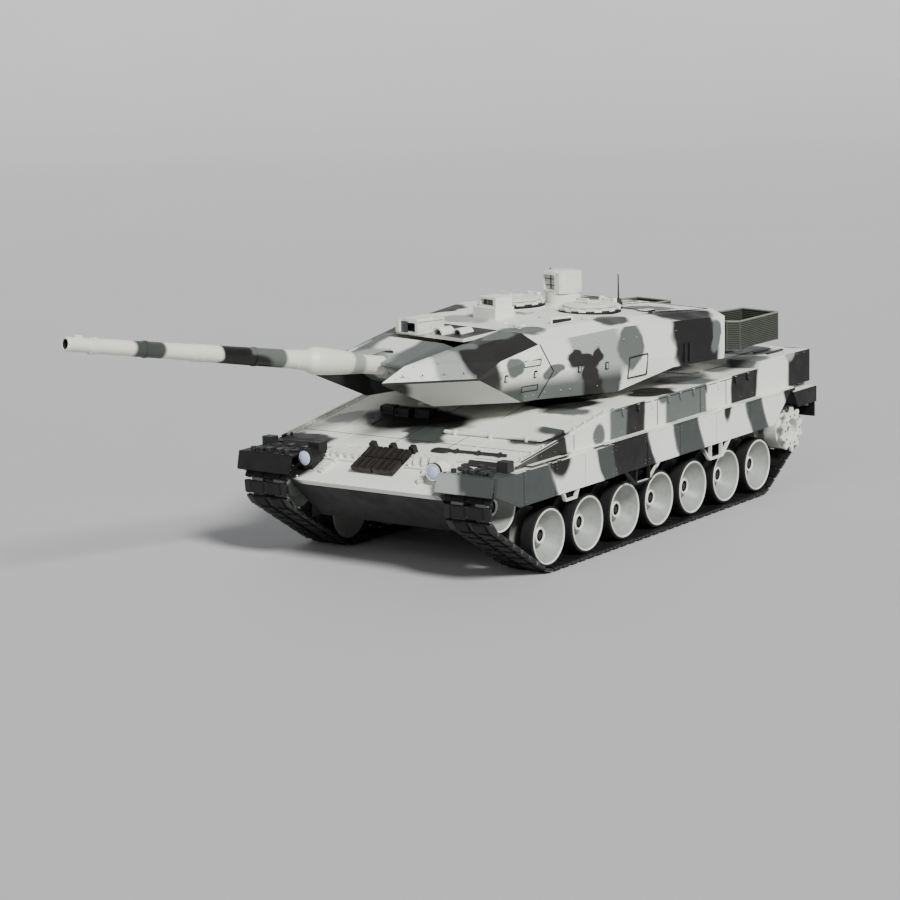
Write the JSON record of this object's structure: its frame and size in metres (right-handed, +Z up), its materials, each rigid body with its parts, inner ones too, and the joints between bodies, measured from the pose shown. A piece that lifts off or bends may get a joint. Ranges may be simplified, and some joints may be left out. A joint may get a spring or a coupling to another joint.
{
  "type": "radio-controlled tank",
  "caption": "Radio-controlled battle tank with separate track links, rolling wheels, a traversing turret, an elevating gun and opening hatches.",
  "frame": {"origin": "under the middle of the whole model, on the ground", "axes": "+X to the nose, +Y to the tank's left, +Z up"},
  "size_m": [0.6794, 0.234, 0.1951],
  "materials": {
    "camo_paint": "matte three-tone sprayed camouflage over moulded plastic",
    "white_paint": "matte off-white paint",
    "barrel_paint": "matte camouflage bands over a turned metal barrel",
    "track_black": "matte black moulded links",
    "olive_mesh": "dark olive ribbed mesh",
    "lamp_glass": "clear lamp lens",
    "black_plastic": "matte",
    "axle_steel": "blackened steel",
    "motor_steel": "plated motor can and gear case",
    "battery_wrap": "shrink wrap",
    "circuit_green": "solder mask"
  },
  "bodies": {
    "hull": {"battery_pack": "battery_wrap", "circuit_board": "circuit_green", "drive_unit_left": "motor_steel", "drive_unit_right": "motor_steel", "driver_hatch": "camo_paint", "engine_deck": "camo_paint", "headlamp_housings": "camo_paint", "headlamp_lenses": "lamp_glass", "hull_fittings": "camo_paint", "ice_cleats": "camo_paint", "lower_hull": "camo_paint", "mudguards": "camo_paint", "rear_panel": "camo_paint", "side_skirt_left": "camo_paint", "side_skirt_right": "camo_paint", "spare_track_links": "track_black", "swing_arms_left": "axle_steel", "swing_arms_right": "axle_steel", "track_left": "track_black", "track_right": "track_black", "upper_hull": "camo_paint"},
    "turret": {"turret_shell": "camo_paint", "turret_ring": "black_plastic", "wedge_armour": "camo_paint", "gunner_sight": "camo_paint", "stowage_baskets": "olive_mesh", "turret_fittings": "camo_paint", "turret_drive": "black_plastic"},
    "gun": {"mantlet": "camo_paint", "gun_barrel": "barrel_paint"},
    "panorama_head": {"panoramic_sight": "white_paint"},
    "commander_lid": {"commander_hatch": "camo_paint"},
    "loader_lid": {"loader_hatch": "camo_paint"},
    "switch_knob": {"power_switch": "black_plastic"},
    "left_sprocket": {"sprocket_left": "white_paint"},
    "left_wheel_1": {"road_wheel_left_1": "white_paint"},
    "left_wheel_2": {"road_wheel_left_2": "white_paint"},
    "left_wheel_3": {"road_wheel_left_3": "white_paint"},
    "left_wheel_4": {"road_wheel_left_4": "white_paint"},
    "left_wheel_5": {"road_wheel_left_5": "white_paint"},
    "left_wheel_6": {"road_wheel_left_6": "white_paint"},
    "left_wheel_7": {"road_wheel_left_7": "white_paint"},
    "left_idler": {"idler_left": "white_paint"},
    "left_roller_1": {"return_roller_left_1": "black_plastic"},
    "left_roller_2": {"return_roller_left_2": "black_plastic"},
    "left_roller_3": {"return_roller_left_3": "black_plastic"},
    "left_roller_4": {"return_roller_left_4": "black_plastic"},
    "right_sprocket": {"sprocket_right": "white_paint"},
    "right_wheel_1": {"road_wheel_right_1": "white_paint"},
    "right_wheel_2": {"road_wheel_right_2": "white_paint"},
    "right_wheel_3": {"road_wheel_right_3": "white_paint"},
    "right_wheel_4": {"road_wheel_right_4": "white_paint"},
    "right_wheel_5": {"road_wheel_right_5": "white_paint"},
    "right_wheel_6": {"road_wheel_right_6": "white_paint"},
    "right_wheel_7": {"road_wheel_right_7": "white_paint"},
    "right_idler": {"idler_right": "white_paint"},
    "right_roller_1": {"return_roller_right_1": "black_plastic"},
    "right_roller_2": {"return_roller_right_2": "black_plastic"},
    "right_roller_3": {"return_roller_right_3": "black_plastic"},
    "right_roller_4": {"return_roller_right_4": "black_plastic"}
  },
  "joints": [
    {"name": "turret_traverse", "type": "hinge", "parent": "hull", "child": "turret", "pos_m": [-0.09573, 0, 0.106], "axis": [0, 0, 1], "range_deg": [-148, 172]},
    {"name": "gun_elevation", "type": "hinge", "parent": "turret", "child": "gun", "pos_m": [-0.02726, -0.01455, 0.1257], "axis": [-0.2079, -0.9781, 0], "range_deg": [-10.8, 2.2]},
    {"name": "panorama_turn", "type": "hinge", "parent": "turret", "child": "panorama_head", "pos_m": [-0.13581, -0.00579, 0.175], "axis": [0, 0, 1], "continuous": true},
    {"name": "commander_hatch_hinge", "type": "hinge", "parent": "turret", "child": "commander_lid", "pos_m": [-0.12122, -0.02423, 0.1744], "axis": [-0.2079, -0.9781, 0], "range_deg": [0, 85]},
    {"name": "loader_hatch_hinge", "type": "hinge", "parent": "turret", "child": "loader_lid", "pos_m": [-0.12678, 0.0434, 0.1722], "axis": [-0.2079, -0.9781, 0], "range_deg": [0, 85]},
    {"name": "power_switch_slide", "type": "slide", "parent": "hull", "child": "switch_knob", "axis": [1, 0, 0], "range_m": [0, 0.006]},
    {"name": "left_sprocket_spin", "type": "hinge", "parent": "hull", "child": "left_sprocket", "pos_m": [-0.29673, 0.091, 0.0485], "axis": [0, 1, 0], "continuous": true},
    {"name": "left_wheel_1_spin", "type": "hinge", "parent": "hull", "child": "left_wheel_1", "pos_m": [0.05877, 0.091, 0.026], "axis": [0, 1, 0], "continuous": true},
    {"name": "left_wheel_2_spin", "type": "hinge", "parent": "hull", "child": "left_wheel_2", "pos_m": [0.00677, 0.091, 0.026], "axis": [0, 1, 0], "continuous": true},
    {"name": "left_wheel_3_spin", "type": "hinge", "parent": "hull", "child": "left_wheel_3", "pos_m": [-0.04473, 0.091, 0.026], "axis": [0, 1, 0], "continuous": true},
    {"name": "left_wheel_4_spin", "type": "hinge", "parent": "hull", "child": "left_wheel_4", "pos_m": [-0.09473, 0.091, 0.026], "axis": [0, 1, 0], "continuous": true},
    {"name": "left_wheel_5_spin", "type": "hinge", "parent": "hull", "child": "left_wheel_5", "pos_m": [-0.14573, 0.091, 0.026], "axis": [0, 1, 0], "continuous": true},
    {"name": "left_wheel_6_spin", "type": "hinge", "parent": "hull", "child": "left_wheel_6", "pos_m": [-0.19823, 0.091, 0.026], "axis": [0, 1, 0], "continuous": true},
    {"name": "left_wheel_7_spin", "type": "hinge", "parent": "hull", "child": "left_wheel_7", "pos_m": [-0.25023, 0.091, 0.026], "axis": [0, 1, 0], "continuous": true},
    {"name": "left_idler_spin", "type": "hinge", "parent": "hull", "child": "left_idler", "pos_m": [0.11827, 0.091, 0.058], "axis": [0, 1, 0], "continuous": true},
    {"name": "left_roller_1_spin", "type": "hinge", "parent": "hull", "child": "left_roller_1", "pos_m": [0.04427, 0.091, 0.06568], "axis": [0, 1, 0], "continuous": true},
    {"name": "left_roller_2_spin", "type": "hinge", "parent": "hull", "child": "left_roller_2", "pos_m": [-0.04073, 0.091, 0.06359], "axis": [0, 1, 0], "continuous": true},
    {"name": "left_roller_3_spin", "type": "hinge", "parent": "hull", "child": "left_roller_3", "pos_m": [-0.13573, 0.091, 0.06126], "axis": [0, 1, 0], "continuous": true},
    {"name": "left_roller_4_spin", "type": "hinge", "parent": "hull", "child": "left_roller_4", "pos_m": [-0.22073, 0.091, 0.05917], "axis": [0, 1, 0], "continuous": true},
    {"name": "right_sprocket_spin", "type": "hinge", "parent": "hull", "child": "right_sprocket", "pos_m": [-0.29673, -0.091, 0.0485], "axis": [0, 1, 0], "continuous": true},
    {"name": "right_wheel_1_spin", "type": "hinge", "parent": "hull", "child": "right_wheel_1", "pos_m": [0.05877, -0.091, 0.026], "axis": [0, 1, 0], "continuous": true},
    {"name": "right_wheel_2_spin", "type": "hinge", "parent": "hull", "child": "right_wheel_2", "pos_m": [0.00677, -0.091, 0.026], "axis": [0, 1, 0], "continuous": true},
    {"name": "right_wheel_3_spin", "type": "hinge", "parent": "hull", "child": "right_wheel_3", "pos_m": [-0.04473, -0.091, 0.026], "axis": [0, 1, 0], "continuous": true},
    {"name": "right_wheel_4_spin", "type": "hinge", "parent": "hull", "child": "right_wheel_4", "pos_m": [-0.09473, -0.091, 0.026], "axis": [0, 1, 0], "continuous": true},
    {"name": "right_wheel_5_spin", "type": "hinge", "parent": "hull", "child": "right_wheel_5", "pos_m": [-0.14573, -0.091, 0.026], "axis": [0, 1, 0], "continuous": true},
    {"name": "right_wheel_6_spin", "type": "hinge", "parent": "hull", "child": "right_wheel_6", "pos_m": [-0.19823, -0.091, 0.026], "axis": [0, 1, 0], "continuous": true},
    {"name": "right_wheel_7_spin", "type": "hinge", "parent": "hull", "child": "right_wheel_7", "pos_m": [-0.25023, -0.091, 0.026], "axis": [0, 1, 0], "continuous": true},
    {"name": "right_idler_spin", "type": "hinge", "parent": "hull", "child": "right_idler", "pos_m": [0.11827, -0.091, 0.058], "axis": [0, 1, 0], "continuous": true},
    {"name": "right_roller_1_spin", "type": "hinge", "parent": "hull", "child": "right_roller_1", "pos_m": [0.04427, -0.091, 0.06568], "axis": [0, 1, 0], "continuous": true},
    {"name": "right_roller_2_spin", "type": "hinge", "parent": "hull", "child": "right_roller_2", "pos_m": [-0.04073, -0.091, 0.06359], "axis": [0, 1, 0], "continuous": true},
    {"name": "right_roller_3_spin", "type": "hinge", "parent": "hull", "child": "right_roller_3", "pos_m": [-0.13573, -0.091, 0.06126], "axis": [0, 1, 0], "continuous": true},
    {"name": "right_roller_4_spin", "type": "hinge", "parent": "hull", "child": "right_roller_4", "pos_m": [-0.22073, -0.091, 0.05917], "axis": [0, 1, 0], "continuous": true}
  ],
  "couplings": [
    {"joint": "left_wheel_1_spin", "follows": "left_sprocket_spin", "ratio": 0.8206},
    {"joint": "left_wheel_2_spin", "follows": "left_sprocket_spin", "ratio": 0.8206},
    {"joint": "left_wheel_3_spin", "follows": "left_sprocket_spin", "ratio": 0.8206},
    {"joint": "left_wheel_4_spin", "follows": "left_sprocket_spin", "ratio": 0.8206},
    {"joint": "left_wheel_5_spin", "follows": "left_sprocket_spin", "ratio": 0.8206},
    {"joint": "left_wheel_6_spin", "follows": "left_sprocket_spin", "ratio": 0.8206},
    {"joint": "left_wheel_7_spin", "follows": "left_sprocket_spin", "ratio": 0.8206},
    {"joint": "left_idler_spin", "follows": "left_sprocket_spin", "ratio": 0.9632},
    {"joint": "left_roller_1_spin", "follows": "left_sprocket_spin", "ratio": 2.2875},
    {"joint": "left_roller_2_spin", "follows": "left_sprocket_spin", "ratio": 2.2875},
    {"joint": "left_roller_3_spin", "follows": "left_sprocket_spin", "ratio": 2.2875},
    {"joint": "left_roller_4_spin", "follows": "left_sprocket_spin", "ratio": 2.2875},
    {"joint": "right_wheel_1_spin", "follows": "right_sprocket_spin", "ratio": 0.8206},
    {"joint": "right_wheel_2_spin", "follows": "right_sprocket_spin", "ratio": 0.8206},
    {"joint": "right_wheel_3_spin", "follows": "right_sprocket_spin", "ratio": 0.8206},
    {"joint": "right_wheel_4_spin", "follows": "right_sprocket_spin", "ratio": 0.8206},
    {"joint": "right_wheel_5_spin", "follows": "right_sprocket_spin", "ratio": 0.8206},
    {"joint": "right_wheel_6_spin", "follows": "right_sprocket_spin", "ratio": 0.8206},
    {"joint": "right_wheel_7_spin", "follows": "right_sprocket_spin", "ratio": 0.8206},
    {"joint": "right_idler_spin", "follows": "right_sprocket_spin", "ratio": 0.9632},
    {"joint": "right_roller_1_spin", "follows": "right_sprocket_spin", "ratio": 2.2875},
    {"joint": "right_roller_2_spin", "follows": "right_sprocket_spin", "ratio": 2.2875},
    {"joint": "right_roller_3_spin", "follows": "right_sprocket_spin", "ratio": 2.2875},
    {"joint": "right_roller_4_spin", "follows": "right_sprocket_spin", "ratio": 2.2875}
  ]
}
